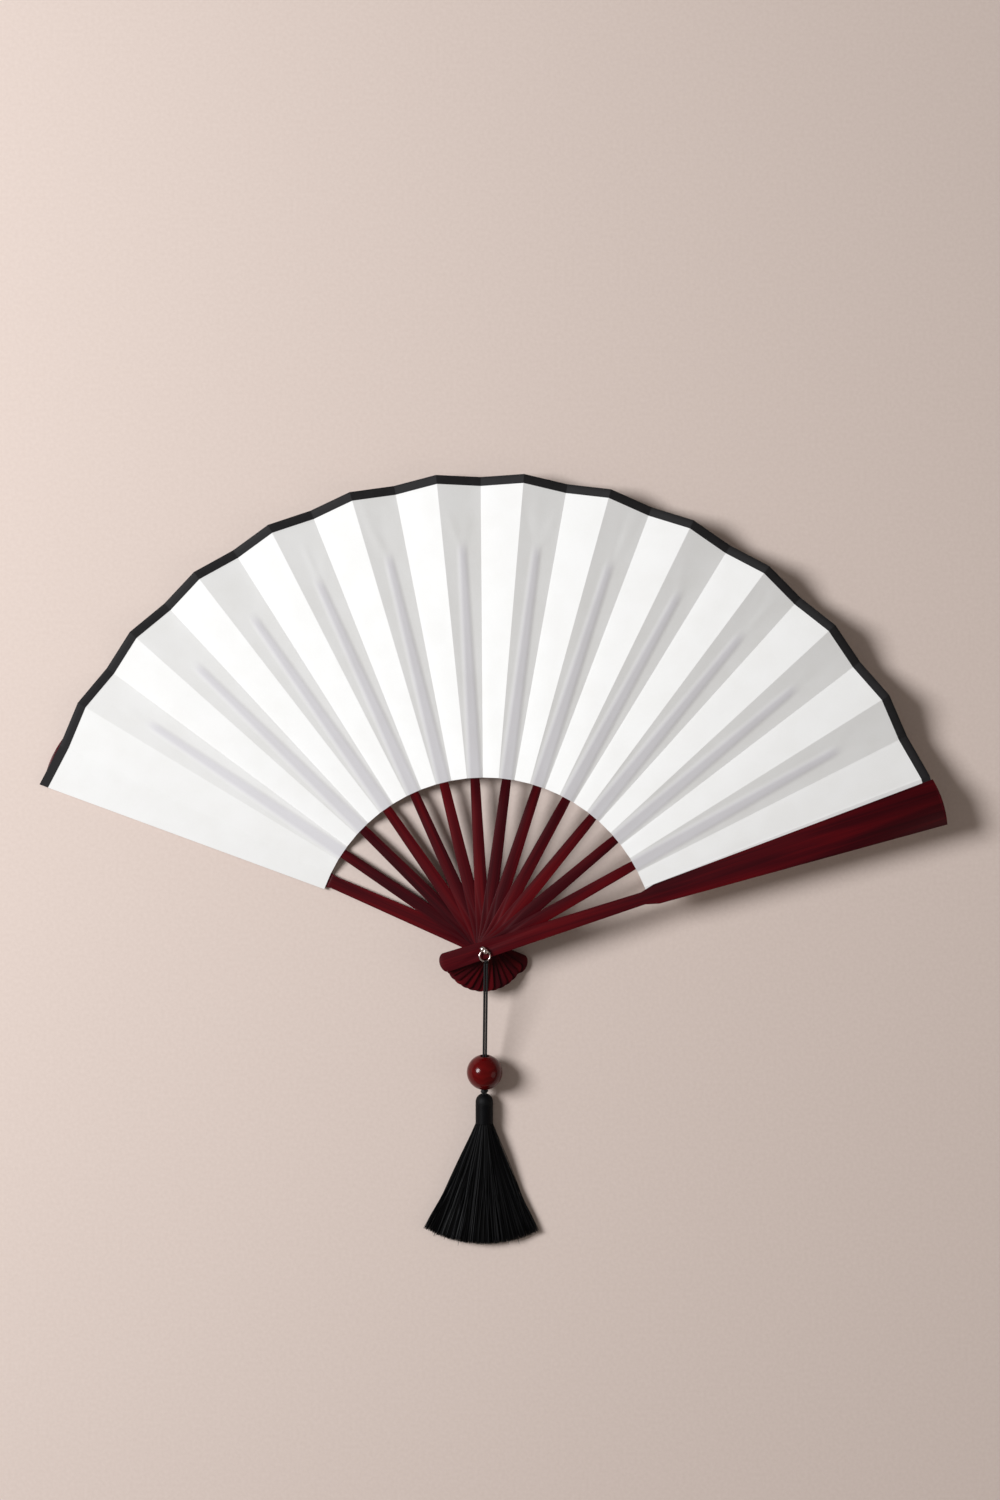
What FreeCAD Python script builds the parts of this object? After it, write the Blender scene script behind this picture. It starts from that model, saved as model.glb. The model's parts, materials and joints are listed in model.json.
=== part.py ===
import FreeCAD, Part
import math
import os

os.makedirs("parts", exist_ok=True)
Vector = FreeCAD.Vector

# A folding fan, open and lying flat. All sizes are millimetres, all angles degrees.
# The origin is on the pin's axis, level with the rear guard's outer face; +Z points
# out of the front. Directions in the plane are measured from +X, counterclockwise.

# Leaf
rib_count = 12
front_direction = 18.6        # middle line of the end panel under the front guard
panel_angle = 5.54            # angle at the pin that one pleat panel covers when flat
rest_tilt = 14.5              # how far a rib panel leans when the fan is open
fit_radius = 200.0            # radius at which the pleats close up exactly
leaf_inner_radius = 98.0
leaf_outer_radius = 272.0
paper_thickness = 0.3
crease_gap = 0.3
binding_width = 5.0
binding_thickness = 0.15
binding_gap = 0.02
glue_thickness = 0.3          # between an end panel and its guard

# Sticks
layer_pitch = 1.4             # from one stick's middle to the next one's
rib_thickness = 1.1
rib_butt = 24.5               # from the pin to a rib's rounded end
rib_butt_crown = 2.2          # how far that end bulges
rib_width_pin = 8.4
rib_width_leaf = 5.5
slip_length = 130.0           # from the leaf's inner edge to the slip's tip
slip_thickness = 0.5
slip_width_inner = 5.2
slip_width_tip = 2.2
slip_clearance = 0.5
stick_gap = 0.3
guard_thickness = 3.35
guard_turn = -0.6             # a guard's own middle line, from its end panel's
guard_butt = 26.5
guard_butt_crown = 3.6         # how far that end bulges
guard_tip_radius = 274.0
guard_width_butt = 11.0
guard_width_pin = 9.8
guard_width_shoulder = 7.2
guard_shoulder_radius = 95.0
guard_shoulder_length = 8.0
guard_blade_width_inner = 11.4
guard_blade_width_tip = 27.0
guard_tip_crown = 1.6

# Pin, eye and ring
pin_radius = 1.5
pin_clearance = 0.05
pin_head_radius = 3.2
pin_head_thickness = 0.9
head_clearance = 0.2
knob_radius = 1.65
knob_spread = 0.95
knob_direction = -39.0
eye_clearance = 0.2
ring_radius = 3.0
ring_wire_radius = 0.42
ring_lift = 1.6               # ring's middle plane above the front guard
ring_centre_x = 0.3
ring_centre_y = -3.2

# Cord, bead and tassel
strand_diameter = 1.25
strand_spacing = 1.35
bead_radius = 10.2
bead_bore_radius = 2.2
ring_knot_radius = 1.25
stop_knot_radius = 2.0
knot_tuck = 0.9                # how far the stop knot reaches into the bead's bore
knot_to_bend = 2.0            # from the stop knot's middle to the end of the straight pull
head_radius = 4.6
wrap_radius = 5.1
cap_length = 6.5
wrap_length = 11.0
skirt_length = 71.0
skirt_width = 66.0
skirt_height = 7.0
skirt_sides = 20

# Heights of the stack, worked out from the layers up
rear_panel_height = 2 * layer_pitch
blade_thickness = rear_panel_height - paper_thickness / 2 - glue_thickness
first_rib_height = rear_panel_height + layer_pitch
front_panel_height = first_rib_height + rib_count * layer_pitch
guard_bottom = front_panel_height - layer_pitch + rib_thickness / 2 + stick_gap
guard_top = guard_bottom + guard_thickness
ring_height = guard_top + ring_lift

# Route of the cord's middle line: ring knot, short drop, straight pull through the
# bead, tassel head. The strands run beside it, half their spacing to each side.
cord_points = [
    Vector(1.0, -7.4, ring_height),
    Vector(0.95, -13.0, ring_height - 1.0),
    Vector(0.0, -83.5, 7.3),
    Vector(0.0, -91.0, 5.25),
]


def folded_pitch(lean_left, lean_right):
    """Angle between two sticks whose panels lean as given, joined by one fold panel."""
    width = fit_radius * math.radians(panel_angle)
    left = math.radians(lean_left)
    right = math.radians(lean_right)
    rise = layer_pitch + width / 2 * (math.sin(left) + math.sin(right))
    across = math.sqrt(width ** 2 - rise ** 2)
    reach = width / 2 * (math.cos(left) + math.cos(right))
    return math.degrees((across + reach) / fit_radius)


rib_pitch = folded_pitch(rest_tilt, rest_tilt)
end_pitch = folded_pitch(rest_tilt, 0.0)
opening = (rib_count - 1) * rib_pitch + 2 * end_pitch
rear_direction = front_direction + opening


def panel_direction(number):
    """Direction of panel 0 (rear end), 1 to rib_count, or rib_count + 1 (front end)."""
    if number == 0:
        return rear_direction
    if number == rib_count + 1:
        return front_direction
    return rear_direction - end_pitch - (number - 1) * rib_pitch


def panel_height(number):
    return rear_panel_height + number * layer_pitch


def panel_tilt(number):
    if number in (0, rib_count + 1):
        return 0.0
    return rest_tilt


def on_panel(number, radius, angle):
    """Point of a rib panel's plane, at a flat radius and angle from its middle line."""
    heading = math.radians(panel_direction(number))
    tilt = math.radians(panel_tilt(number))
    outward = Vector(math.cos(heading), math.sin(heading), 0)
    sideways = Vector(-math.sin(heading), math.cos(heading), 0)
    leaning = sideways * math.cos(tilt) + Vector(0, 0, math.sin(tilt))
    flat = math.radians(angle)
    along = outward * (radius * math.cos(flat))
    across = leaning * (radius * math.sin(flat))
    return along + across + Vector(0, 0, panel_height(number))


def triangle(a, b, c):
    return Part.Face(Part.makePolygon([a, b, c, a]))


def swept(left, right, profile, normal):
    """Closed solid between two side lines. The profile's points are (share, lift):
    how far out along each side line, and how far off it along the normal. A twisted
    quad is split along the same diagonal on both faces, so the wall stays even."""
    near = [between(left[0], left[1], share) + normal * lift for share, lift in profile]
    far = [between(right[0], right[1], share) + normal * lift for share, lift in profile]
    back = far[::-1]
    faces = [Part.Face(Part.makePolygon(ring + ring[:1])) for ring in (near, back)]
    count = len(profile)
    for i in range(count):
        j = (i + 1) % count
        if profile[j][0] > profile[i][0]:
            faces.append(triangle(near[j], near[i], far[j]))
            faces.append(triangle(near[i], far[i], far[j]))
        else:
            faces.append(triangle(near[j], near[i], far[i]))
            faces.append(triangle(near[j], far[i], far[j]))
    solid = Part.Solid(Part.Shell(faces))
    if solid.Volume < 0:
        solid.reverse()
    return solid


def between(a, b, share):
    return a + (b - a) * share


def towards(a, b, distance):
    step = b - a
    step.normalize()
    return a + step * distance


def side_lines(corners, gap):
    """A panel's two radial sides, each moved in by a gap. The corners run inner right,
    inner left, outer left, outer right."""
    a, b, c, d = corners
    right = (towards(a, b, gap), towards(d, c, gap))
    left = (towards(b, a, gap), towards(c, d, gap))
    return right, left


def face_normal(corners):
    normal = (corners[3] - corners[1]).cross(corners[2] - corners[0])
    return normal.normalize()


def paper_plate(corners, below, above):
    right, left = side_lines(corners, crease_gap / 2)
    profile = [(0, -below), (1, -below), (1, above), (0, above)]
    return swept(right, left, profile, face_normal(corners))


def binding(corners, below, above):
    """Black tape folded over the outer edge, or over one face of it where the other
    face is glued down: each side gets a leg if it has a height."""
    right, left = side_lines(corners, crease_gap)
    length = leaf_outer_radius - leaf_inner_radius
    leg = 1 - binding_width / length
    edge = 1 + binding_gap / length
    rim = edge + binding_thickness / length
    inside = paper_thickness / 2 + binding_gap
    outside = inside + binding_thickness
    low = outside if below else paper_thickness / 2
    high = outside if above else paper_thickness / 2
    profile = [(rim, -low), (rim, high)]
    if above:
        profile += [(leg, outside), (leg, inside), (edge, inside)]
    else:
        profile += [(edge, high)]
    if below:
        profile += [(edge, -inside), (leg, -inside), (leg, -outside)]
    else:
        profile += [(edge, -low)]
    return swept(right, left, profile, face_normal(corners))


def rib_frame(number, turn=0.0):
    """Placement that lays a stick drawn along +X in its own direction."""
    heading = panel_direction(number) + turn
    return FreeCAD.Placement(Vector(0, 0, 0), FreeCAD.Rotation(Vector(0, 0, 1), heading))


def edges_to_solid(edges, bottom, top):
    face = Part.Face(Part.Wire(edges))
    face.translate(Vector(0, 0, bottom))
    return face.extrude(Vector(0, 0, top - bottom))


def pin_hole(height):
    return Part.makeCylinder(pin_radius + pin_clearance, height, Vector(0, 0, 0))


def straight(a, b):
    return Part.LineSegment(a, b).toShape()


def bow(a, middle, b):
    return Part.Arc(a, middle, b).toShape()


def rib(number):
    """Flat inner stick: round butt, tapering handle, thin slip inside the leaf."""
    height = panel_height(number)
    pin_half = rib_width_pin / 2
    leaf_half = rib_width_leaf / 2
    start = rib_butt - rib_butt_crown
    stop = leaf_inner_radius - 1.0
    edges = [
        straight(Vector(-start, -pin_half, 0), Vector(0, -pin_half, 0)),
        straight(Vector(0, -pin_half, 0), Vector(stop, -leaf_half, 0)),
        straight(Vector(stop, -leaf_half, 0), Vector(stop, leaf_half, 0)),
        straight(Vector(stop, leaf_half, 0), Vector(0, pin_half, 0)),
        straight(Vector(0, pin_half, 0), Vector(-start, pin_half, 0)),
        bow(Vector(-start, pin_half, 0), Vector(-rib_butt, 0, 0), Vector(-start, -pin_half, 0)),
    ]
    handle = edges_to_solid(edges, height - rib_thickness / 2, height + rib_thickness / 2)
    handle = handle.cut(pin_hole(front_panel_height))
    inner_half = slip_width_inner / 2
    tip_half = slip_width_tip / 2
    tip = leaf_inner_radius + slip_length
    slip_edges = [
        straight(Vector(stop - 1, -inner_half, 0), Vector(tip - tip_half, -tip_half, 0)),
        bow(Vector(tip - tip_half, -tip_half, 0), Vector(tip, 0, 0),
            Vector(tip - tip_half, tip_half, 0)),
        straight(Vector(tip - tip_half, tip_half, 0), Vector(stop - 1, inner_half, 0)),
        straight(Vector(stop - 1, inner_half, 0), Vector(stop - 1, -inner_half, 0)),
    ]
    slip = edges_to_solid(slip_edges, height - slip_thickness / 2, height + slip_thickness / 2)
    stick = handle.fuse(slip).removeSplitter()
    stick.Placement = rib_frame(number)
    return stick


def guard_outline():
    """Guard's outline along +X: round butt, straight handle, step, widening blade."""
    butt_half = guard_width_butt / 2
    pin_half = guard_width_pin / 2
    shoulder_half = guard_width_shoulder / 2
    inner_half = guard_blade_width_inner / 2
    tip_half = guard_blade_width_tip / 2
    start = guard_butt - guard_butt_crown
    blade = guard_shoulder_radius + guard_shoulder_length
    corner = guard_tip_radius - guard_tip_crown
    side = [
        Vector(-start, butt_half, 0),
        Vector(0, pin_half, 0),
        Vector(guard_shoulder_radius, shoulder_half, 0),
        Vector(blade, inner_half, 0),
        Vector(corner, tip_half, 0),
    ]
    other = [Vector(p.x, -p.y, 0) for p in side]
    edges = [straight(a, b) for a, b in zip(side, side[1:])]
    edges.append(bow(side[-1], Vector(guard_tip_radius, 0, 0), other[-1]))
    edges += [straight(b, a) for a, b in reversed(list(zip(other, other[1:])))]
    edges.append(bow(other[0], Vector(-guard_butt, 0, 0), side[0]))
    return edges


def blade_relief(bottom, top):
    """Space that a guard leaves for the leaf, from just inside its inner edge outwards."""
    size = guard_tip_radius
    corner = Vector(leaf_inner_radius - 1.5, -size / 2, bottom)
    return Part.makeBox(size, size, top - bottom, corner)


def rear_guard():
    guard = edges_to_solid(guard_outline(), 0, guard_thickness)
    guard = guard.cut(blade_relief(blade_thickness, guard_thickness + 1))
    guard = guard.cut(pin_hole(guard_thickness))
    seat = Part.makeCylinder(pin_head_radius + head_clearance, pin_head_thickness + 0.1)
    guard = guard.cut(seat)
    guard.Placement = rib_frame(0, guard_turn)
    return guard


def front_guard():
    guard = edges_to_solid(guard_outline(), guard_bottom, guard_top)
    blade_bottom = front_panel_height + paper_thickness / 2 + glue_thickness
    guard = guard.cut(blade_relief(guard_bottom - 1, blade_bottom))
    guard = guard.cut(pin_hole(guard_top))
    guard.Placement = rib_frame(rib_count + 1, guard_turn)
    return guard


def slip_slot(number):
    """Slot in a rib panel, clear of the slip all round, square to the panel."""
    wide = slip_width_inner / 2 + slip_clearance
    narrow = slip_width_tip / 2 + slip_clearance
    start = leaf_inner_radius - 2.0
    tip = leaf_inner_radius + slip_length + slip_clearance
    right = (flat_point(number, start, -wide), flat_point(number, tip, -narrow))
    left = (flat_point(number, start, wide), flat_point(number, tip, narrow))
    deep = paper_thickness
    profile = [(0, -deep), (1, -deep), (1, deep), (0, deep)]
    return swept(right, left, profile, face_normal(panel_corners(number)))


def flat_point(number, along, across):
    """Point given along and across a rib panel's own middle line."""
    angle = math.degrees(math.atan2(across, along))
    return on_panel(number, math.hypot(along, across), angle)


def panel_corners(number):
    half = panel_angle / 2
    return [
        on_panel(number, leaf_inner_radius, -half),
        on_panel(number, leaf_inner_radius, half),
        on_panel(number, leaf_outer_radius, half),
        on_panel(number, leaf_outer_radius, -half),
    ]


def rib_panel(number):
    """Panel that holds a slip: a flat four-cornered plate with a slot round the slip."""
    corners = panel_corners(number)
    half = paper_thickness / 2
    paper = paper_plate(corners, half, half).cut(slip_slot(number))
    return Part.makeCompound([paper, binding(corners, True, True)])


def end_panel(number):
    """Panel glued flat to a guard: the rear one's top shows, the front one's underside."""
    corners = panel_corners(number)
    half = paper_thickness / 2
    rear = number == 0
    below = half + (glue_thickness if rear else 0)
    above = half + (0 if rear else glue_thickness)
    paper = paper_plate(corners, below, above)
    return Part.makeCompound([paper, binding(corners, not rear, rear)])


def fold_panel(number):
    """Panel that rises from one rib panel's low side to the next one's high side."""
    low = panel_corners(number)
    high = panel_corners(number + 1)
    corners = [high[1], low[0], low[3], high[2]]
    half = paper_thickness / 2
    paper = paper_plate(corners, half, half)
    return Part.makeCompound([paper, binding(corners, True, True)])


def pivot_pin():
    head = Part.makeCylinder(pin_head_radius, pin_head_thickness)
    shaft = Part.makeCylinder(pin_radius, ring_height - knob_radius / 2)
    return head.fuse(shaft).removeSplitter()


def ring_centre():
    return Vector(ring_centre_x, ring_centre_y, ring_height)


def pin_eye():
    """Two fused knobs on the pin's end, with a tunnel between them for the ring."""
    swing = math.radians(knob_direction)
    step = Vector(math.cos(swing), math.sin(swing), 0) * knob_spread
    middle = Vector(0, 0, ring_height)
    head = Part.makeSphere(knob_radius, middle + step)
    head = head.fuse(Part.makeSphere(knob_radius, middle - step))
    tunnel = Part.makeTorus(ring_radius, ring_wire_radius + eye_clearance, ring_centre())
    below = Part.makeBox(20, 20, 20, Vector(-10, -10, guard_top - 20 + 0.15))
    head = head.cut(tunnel).cut(below).cut(pivot_pin())
    return head.removeSplitter()


def hang_ring():
    return Part.makeTorus(ring_radius, ring_wire_radius, ring_centre())


def cord_heading():
    """Unit direction of the cord's straight pull, towards the tassel."""
    heading = cord_points[2] - cord_points[1]
    return heading.normalize()


def knot_centre():
    return cord_points[2] - cord_heading() * knot_to_bend


def bead_centre():
    """The bead rests on the stop knot."""
    return knot_centre() - cord_heading() * (bead_radius + stop_knot_radius - knot_tuck)


def agate_bead():
    heading = cord_heading()
    centre = bead_centre()
    ball = Part.makeSphere(bead_radius, centre)
    reach = bead_radius + 2
    bore = Part.makeCylinder(bead_bore_radius, 2 * reach, centre - heading * reach, heading)
    return ball.cut(bore)


def stop_knot():
    """Knot just under the bead, pulled tight round both strands."""
    return Part.makeSphere(stop_knot_radius, knot_centre())


def ring_knot():
    """Cord hitched over the ring's lower edge, ending where the two strands leave it."""
    knot = Part.makeSphere(ring_knot_radius, cord_points[0] + Vector(0, 0.9, 0))
    return knot.cut(hang_ring())


def tassel_end():
    """Where the neck wrap ends and the free threads begin."""
    return cord_points[3] + Vector(0, -wrap_length + 1.5, 0)


def tassel_head():
    top = cord_points[3] + Vector(0, cap_length + 1.5, 0)
    middle = Vector(top.x, top.y - head_radius, wrap_radius + 0.1)
    dome = Part.makeSphere(head_radius, middle)
    body = Part.makeCylinder(head_radius, cap_length + 1.5 - head_radius, middle, Vector(0, -1, 0))
    core_start = middle + Vector(0, -(cap_length - head_radius), 0)
    core = Part.makeCylinder(head_radius - 0.4, wrap_length, core_start, Vector(0, -1, 0))
    return dome.fuse(body).fuse(core).removeSplitter()


def neck_wrap():
    end = tassel_end()
    start = Vector(end.x, end.y + wrap_length, wrap_radius + 0.1)
    outer = Part.makeCylinder(wrap_radius, wrap_length, start, Vector(0, -1, 0))
    return outer.cut(tassel_head())


def oval_wire(centre, width, height):
    """Upright oval across the tassel, with straight sides."""
    corners = []
    for i in range(skirt_sides):
        turn = 2 * math.pi * (i + 0.5) / skirt_sides
        across = width / 2 * math.cos(turn)
        up = height / 2 * math.sin(turn)
        corners.append(centre + Vector(across, 0, up))
    return Part.makePolygon(corners + corners[:1])


def tassel_skirt():
    """Threads fanned out flat on the surface, in one outer shape."""
    end = tassel_end()
    neck = 2 * head_radius - 0.6
    stations = [
        (0.0, neck, neck, wrap_radius + 0.1),
        (0.12, neck * 1.45, neck, neck / 2 + 0.1),
        (0.45, skirt_width * 0.53, skirt_height * 1.25, skirt_height * 0.625 + 0.1),
        (1.0, skirt_width, skirt_height, skirt_height / 2 + 0.1),
    ]
    wires = []
    for share, width, height, lift in stations:
        centre = Vector(end.x, end.y - share * skirt_length, lift)
        wires.append(oval_wire(centre, width, height))
    return Part.makeLoft(wires, True, True)


def tangent_path(points):
    """Straight runs joined by arcs that touch them, as large as the runs allow."""
    edges = []
    here = points[0]
    radii = []
    for before, corner, after in zip(points, points[1:], points[2:]):
        back = before - corner
        ahead = after - corner
        shorter = min(back.Length, ahead.Length)
        turn = math.pi - back.getAngle(ahead)
        reach = 0.45 * shorter
        radii.append(reach / math.tan(turn / 2))
        back.normalize()
        ahead.normalize()
        first = corner + back * reach
        last = corner + ahead * reach
        bisector = back + ahead
        bisector.normalize()
        to_centre = math.hypot(radii[-1], reach)
        middle = corner + bisector * (to_centre - radii[-1])
        edges.append(straight(here, first))
        edges.append(bow(first, middle, last))
        here = last
    edges.append(straight(here, points[-1]))
    return Part.Wire(edges), radii


def cord_strand(side, name):
    shift = Vector(side * strand_spacing / 2, 0, 0)
    points = [p + shift for p in cord_points]
    path, radii = tangent_path(points)
    heading = points[1] - points[0]
    section = Part.makeCircle(strand_diameter / 2, points[0], heading)
    tube = path.makePipeShell([Part.Wire([section])], True, False)
    expected = math.pi * strand_diameter ** 2 / 4 * path.Length
    print(name, "length", round(path.Length, 2), "radii", [round(r, 1) for r in radii],
          "volume", round(tube.Volume, 3), "expected", round(expected, 3))
    return tube


def write(name, shape):
    solids = len(shape.Solids)
    assert shape.isValid() and solids > 0, name
    shape.exportStep("parts/" + name + ".step")
    box = shape.BoundBox
    print(name, solids, "low", round(box.ZMin, 2), "high", round(box.ZMax, 2),
          "volume", round(shape.Volume, 2))


write("rear_guard", rear_guard())
write("front_guard", front_guard())
for number in range(1, rib_count + 1):
    write("rib_%02d" % number, rib(number))
    write("rib_panel_%02d" % number, rib_panel(number))
write("end_panel_rear", end_panel(0))
write("end_panel_front", end_panel(rib_count + 1))
for number in range(rib_count + 1):
    write("fold_panel_%02d" % number, fold_panel(number))
write("pivot_pin", pivot_pin())
write("pin_eye", pin_eye())
write("hang_ring", hang_ring())

strands = {
    "cord_strand_left": cord_strand(-1, "cord_strand_left"),
    "cord_strand_right": cord_strand(1, "cord_strand_right"),
}
both = strands["cord_strand_left"].fuse(strands["cord_strand_right"])
write("ring_knot", ring_knot().cut(both))
write("agate_bead", agate_bead())
write("stop_knot", stop_knot().cut(agate_bead()).cut(both))
write("tassel_head", tassel_head().cut(both).cut(stop_knot()))
write("neck_wrap", neck_wrap())
write("tassel_skirt", tassel_skirt())
for name, strand in strands.items():
    write(name, strand)
print("pitch", round(rib_pitch, 4), "end pitch", round(end_pitch, 4), "opening", round(opening, 4))
print("rear direction", round(rear_direction, 4), "guard top", guard_top)
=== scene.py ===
# %% [markdown]
# # A pleated paper fan with a tassel
# The fan is already designed: its sticks, pleats, pin and tassel are packed as a frame whose
# parts turn about real joints. This script dresses that frame. It reads where each crease
# and each stick lies from the joints, and never moves or resizes a part of the frame.

# %% Load the frame
import json
import math
import random

import bpy
from mathutils import Matrix, Vector


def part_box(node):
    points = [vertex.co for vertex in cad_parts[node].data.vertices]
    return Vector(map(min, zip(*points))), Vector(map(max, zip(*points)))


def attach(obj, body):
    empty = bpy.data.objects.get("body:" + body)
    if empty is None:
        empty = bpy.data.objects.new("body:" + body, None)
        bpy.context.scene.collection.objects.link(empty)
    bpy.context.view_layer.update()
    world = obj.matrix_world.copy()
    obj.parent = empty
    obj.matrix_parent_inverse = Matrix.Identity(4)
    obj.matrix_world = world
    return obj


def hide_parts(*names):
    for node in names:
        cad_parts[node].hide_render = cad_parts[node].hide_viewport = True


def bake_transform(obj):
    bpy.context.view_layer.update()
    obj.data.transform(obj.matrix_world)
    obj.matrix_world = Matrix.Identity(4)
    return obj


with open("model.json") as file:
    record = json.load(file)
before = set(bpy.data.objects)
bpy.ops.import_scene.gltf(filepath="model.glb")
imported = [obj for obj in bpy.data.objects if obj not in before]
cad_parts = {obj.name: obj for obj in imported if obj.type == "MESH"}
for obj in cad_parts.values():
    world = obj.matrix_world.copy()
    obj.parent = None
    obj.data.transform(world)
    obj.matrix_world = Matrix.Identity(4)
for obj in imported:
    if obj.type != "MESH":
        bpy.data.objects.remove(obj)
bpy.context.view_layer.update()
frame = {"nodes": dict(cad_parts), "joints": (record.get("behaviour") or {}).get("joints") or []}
joints = {joint["name"]: joint for joint in frame["joints"]}

# %% [markdown]
# ## Where the pleats lie
# Each rib panel leans about its own stick, so its joint's axis is the stick's middle line.
# Each fold panel turns about its valley crease, so that joint's axis is the crease. The
# peak crease on the panel's other side is the valley's mirror image in the middle line.
# The two end panels are glued flat to the guards and need no joint of their own: they
# are found from the steps between their neighbours.

# %% Creases, read from the joints
MM = 0.001
rib_numbers = range(1, 1 + sum(name.endswith("_lean") for name in joints))
last_rib = rib_numbers[-1]
rear_end, front_end = 0, last_rib + 1


def turned(direction, angle):
    """A direction turned about the pin, in radians, counterclockwise from above."""
    return Matrix.Rotation(angle, 3, "Z") @ direction


middle = {k: Vector(joints[f"rib_panel_{k:02d}_lean"]["axis"]).normalized() for k in rib_numbers}
valley = {k: Vector(joints[f"fold_panel_{k:02d}_crease"]["axis"]).normalized()
          for k in range(rear_end, front_end)}
base = {k: Vector(joints[f"fold_panel_{k:02d}_crease"]["pos_m"]) for k in valley}
half_angle = middle[1].angle(valley[1])
middle[rear_end] = turned(valley[rear_end], half_angle)
end_pitch = middle[rear_end].angle(middle[1])
middle[front_end] = turned(middle[last_rib], -end_pitch)
valley[front_end] = turned(middle[front_end], -half_angle)
base[front_end] = 2 * base[last_rib] - base[last_rib - 1]


def bearing(k):
    """A panel's direction about the pin, in radians, counterclockwise from +X."""
    return math.atan2(middle[k].y, middle[k].x)


peak = {k: 2 * valley[k].dot(middle[k]) * middle[k] - valley[k] for k in valley}
lean_angle = math.radians(-joints["rib_panel_01_lean"]["range_deg"][0])
print(len(rib_numbers), "ribs; one panel covers", round(math.degrees(2 * half_angle), 2), "degrees")

# %% [markdown]
# ## Small helpers for modelling
# Everything is deselected before a new primitive is added, because an operator acts on all
# that is selected. Modifiers are applied at once, so that each finished mesh is final.

# %% Helpers for modelling


def fresh(operator, **settings):
    """Adds a primitive on its own and returns its object, in object mode."""
    if bpy.context.object and bpy.context.object.mode != "OBJECT":
        bpy.ops.object.mode_set(mode="OBJECT")
    bpy.ops.object.select_all(action="DESELECT")
    operator(**settings)
    return bpy.context.object


def only(piece):
    """Makes one object the selected and active one."""
    bpy.ops.object.select_all(action="DESELECT")
    piece.select_set(True)
    bpy.context.view_layer.objects.active = piece


def modify(piece, kind, **settings):
    """Adds a modifier and applies it."""
    only(piece)
    modifier = piece.modifiers.new(kind.lower(), kind)
    for key, value in settings.items():
        setattr(modifier, key, value)
    bpy.ops.object.modifier_apply(modifier=modifier.name)


def settle(piece, name, smooth_angle=35):
    """Puts the object's place into its mesh, smooths its gentle edges and names it."""
    only(piece)
    bpy.ops.object.transform_apply(location=True, rotation=True, scale=True)
    bpy.ops.object.shade_smooth_by_angle(angle=math.radians(smooth_angle))
    piece.name = piece.data.name = name
    return piece


def in_scene(name, data):
    """A new object of that mesh, curve, light or camera, linked to the scene."""
    piece = bpy.data.objects.new(name, data)
    bpy.context.scene.collection.objects.link(piece)
    return piece


def copy_of(piece, name):
    """A copy with its own mesh."""
    twin = in_scene(name, piece.data.copy())
    twin.data.name = name
    return twin


def discard(piece):
    bpy.data.objects.remove(piece)


def ease(value, low, high):
    """0 below low, 1 above high, and a smooth step between them."""
    share = min(max((value - low) / (high - low), 0.0), 1.0)
    return share * share * (3 - 2 * share)


def finish_with(piece, material):
    """Gives a piece its finish."""
    piece.data.materials.clear()
    piece.data.materials.append(material)


# %% [markdown]
# ## Small helpers for materials
# A material is a graph of nodes. Written out node by node it hides the idea, so a number
# that varies over the surface is wrapped in `Value`, and ordinary arithmetic on it adds the
# Math nodes. Colours go through Mix nodes, because a Math node would turn them grey.

# %% Helpers for materials


class Value:
    """A number on a node's output. Arithmetic on it adds Math nodes."""

    def __init__(self, tree, socket):
        self.tree, self.socket = tree, socket

    def math(self, operation, *operands):
        node = self.tree.nodes.new("ShaderNodeMath")
        node.operation = operation
        for socket, operand in zip(node.inputs, operands):
            if isinstance(operand, Value):
                self.tree.links.new(operand.socket, socket)
            else:
                socket.default_value = operand
        return Value(self.tree, node.outputs[0])

    def __add__(self, other):
        return self.math("ADD", self, other)

    def __sub__(self, other):
        return self.math("SUBTRACT", self, other)

    def __mul__(self, other):
        return self.math("MULTIPLY", self, other)

    __radd__ = __add__

    def sine(self):
        return self.math("SINE", self)


def socket_name(word):
    """specular_ior_level, as Python writes it, is the socket Specular IOR Level."""
    return word.replace("_", " ").title().replace("Ior", "IOR")


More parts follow.
